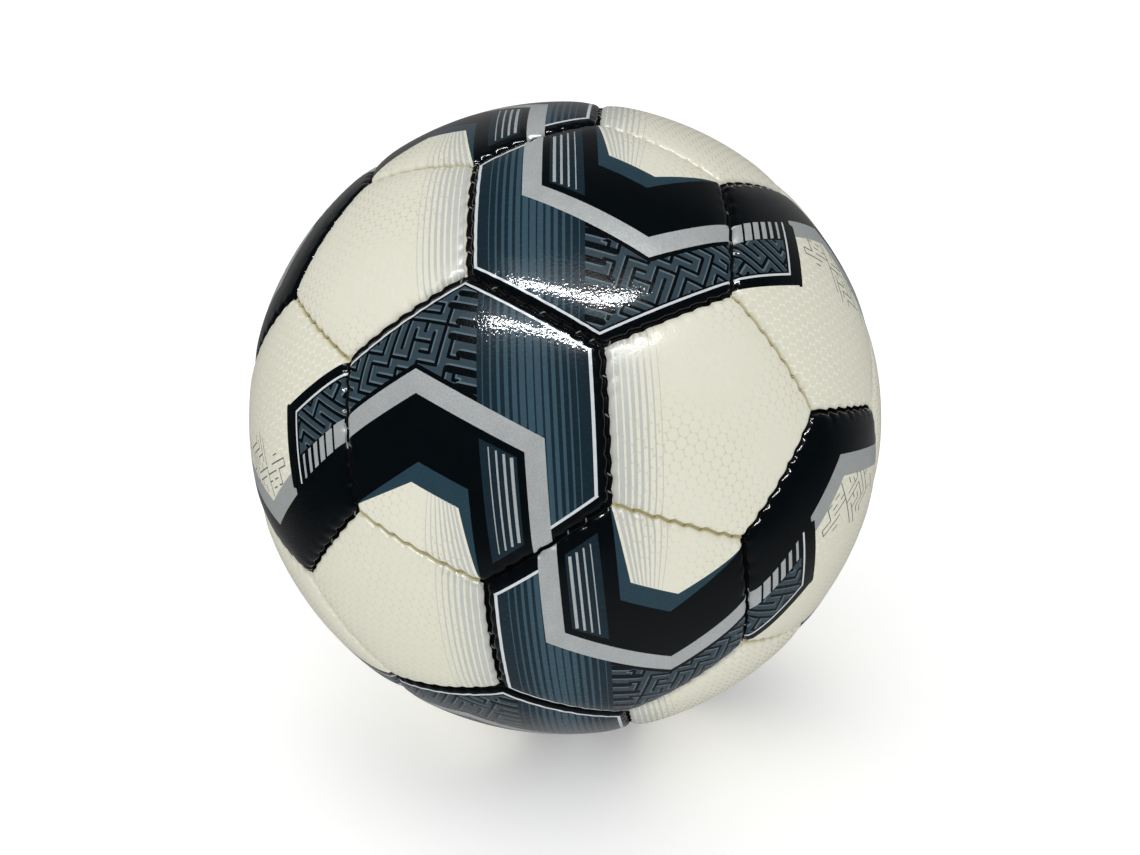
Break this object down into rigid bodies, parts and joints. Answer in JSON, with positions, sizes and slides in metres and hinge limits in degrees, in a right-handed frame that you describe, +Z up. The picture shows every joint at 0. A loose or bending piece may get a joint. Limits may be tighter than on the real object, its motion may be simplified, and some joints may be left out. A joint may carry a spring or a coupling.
{
  "type": "futsal ball",
  "caption": "Hand-stitched panelled ball for indoor five-a-side football: padded pentagon and hexagon panels sewn over an inflated bladder with a needle valve.",
  "frame": {"origin": "centre of the ball, which is the centre of its bounding box", "axes": "+X through the middle of the pentagon that holds the valve, which is the five-fold axis of the panel pattern; +Z up, away from the small flat that the ball rests on; -Y towards the viewer"},
  "size_m": [0.2004, 0.2, 0.2003],
  "materials": {
    "cover_printed": "glossy printed polyurethane skin on a padded cloth backing, black with slate-blue, silver and cream shapes",
    "cover_cream": "pearl cream polyurethane skin with a fine dimple texture, padded cloth backing",
    "thread": "waxed polyester thread",
    "bladder_rubber": "matte butyl rubber",
    "valve_rubber": "satin black rubber",
    "plug_rubber": "satin off-white silicone rubber",
    "backing_cloth": "woven polyester-cotton backing cloth"
  },
  "bodies": {
    "root": {"pentagon_valve": "cover_cream", "pentagon_far": "cover_cream", "pentagon_right_1": "cover_cream", "pentagon_right_2": "cover_cream", "pentagon_right_3": "cover_cream", "pentagon_right_4": "cover_cream", "pentagon_right_5": "cover_cream", "pentagon_left_1": "cover_cream", "pentagon_left_2": "cover_cream", "pentagon_left_3": "cover_cream", "pentagon_left_4": "cover_cream", "pentagon_left_5": "cover_cream", "belt_hexagon_1": "cover_printed", "belt_hexagon_2": "cover_printed", "belt_hexagon_3": "cover_printed", "belt_hexagon_4": "cover_printed", "belt_hexagon_5": "cover_printed", "belt_hexagon_6": "cover_printed", "belt_hexagon_7": "cover_printed", "belt_hexagon_8": "cover_printed", "belt_hexagon_9": "cover_printed", "belt_hexagon_10": "cover_printed", "cap_hexagon_right_1": "cover_cream", "cap_hexagon_right_2": "cover_cream", "cap_hexagon_right_3": "cover_cream", "cap_hexagon_right_4": "cover_cream", "cap_hexagon_right_5": "cover_cream", "cap_hexagon_left_1": "cover_cream", "cap_hexagon_left_2": "cover_cream", "cap_hexagon_left_3": "cover_cream", "cap_hexagon_left_4": "cover_cream", "cap_hexagon_left_5": "cover_cream", "seam_thread": "thread", "bladder": "bladder_rubber", "balance_patch": "bladder_rubber", "valve_housing": "valve_rubber", "valve_plug": "plug_rubber", "valve_ring": "backing_cloth"}
  },
  "joints": []
}
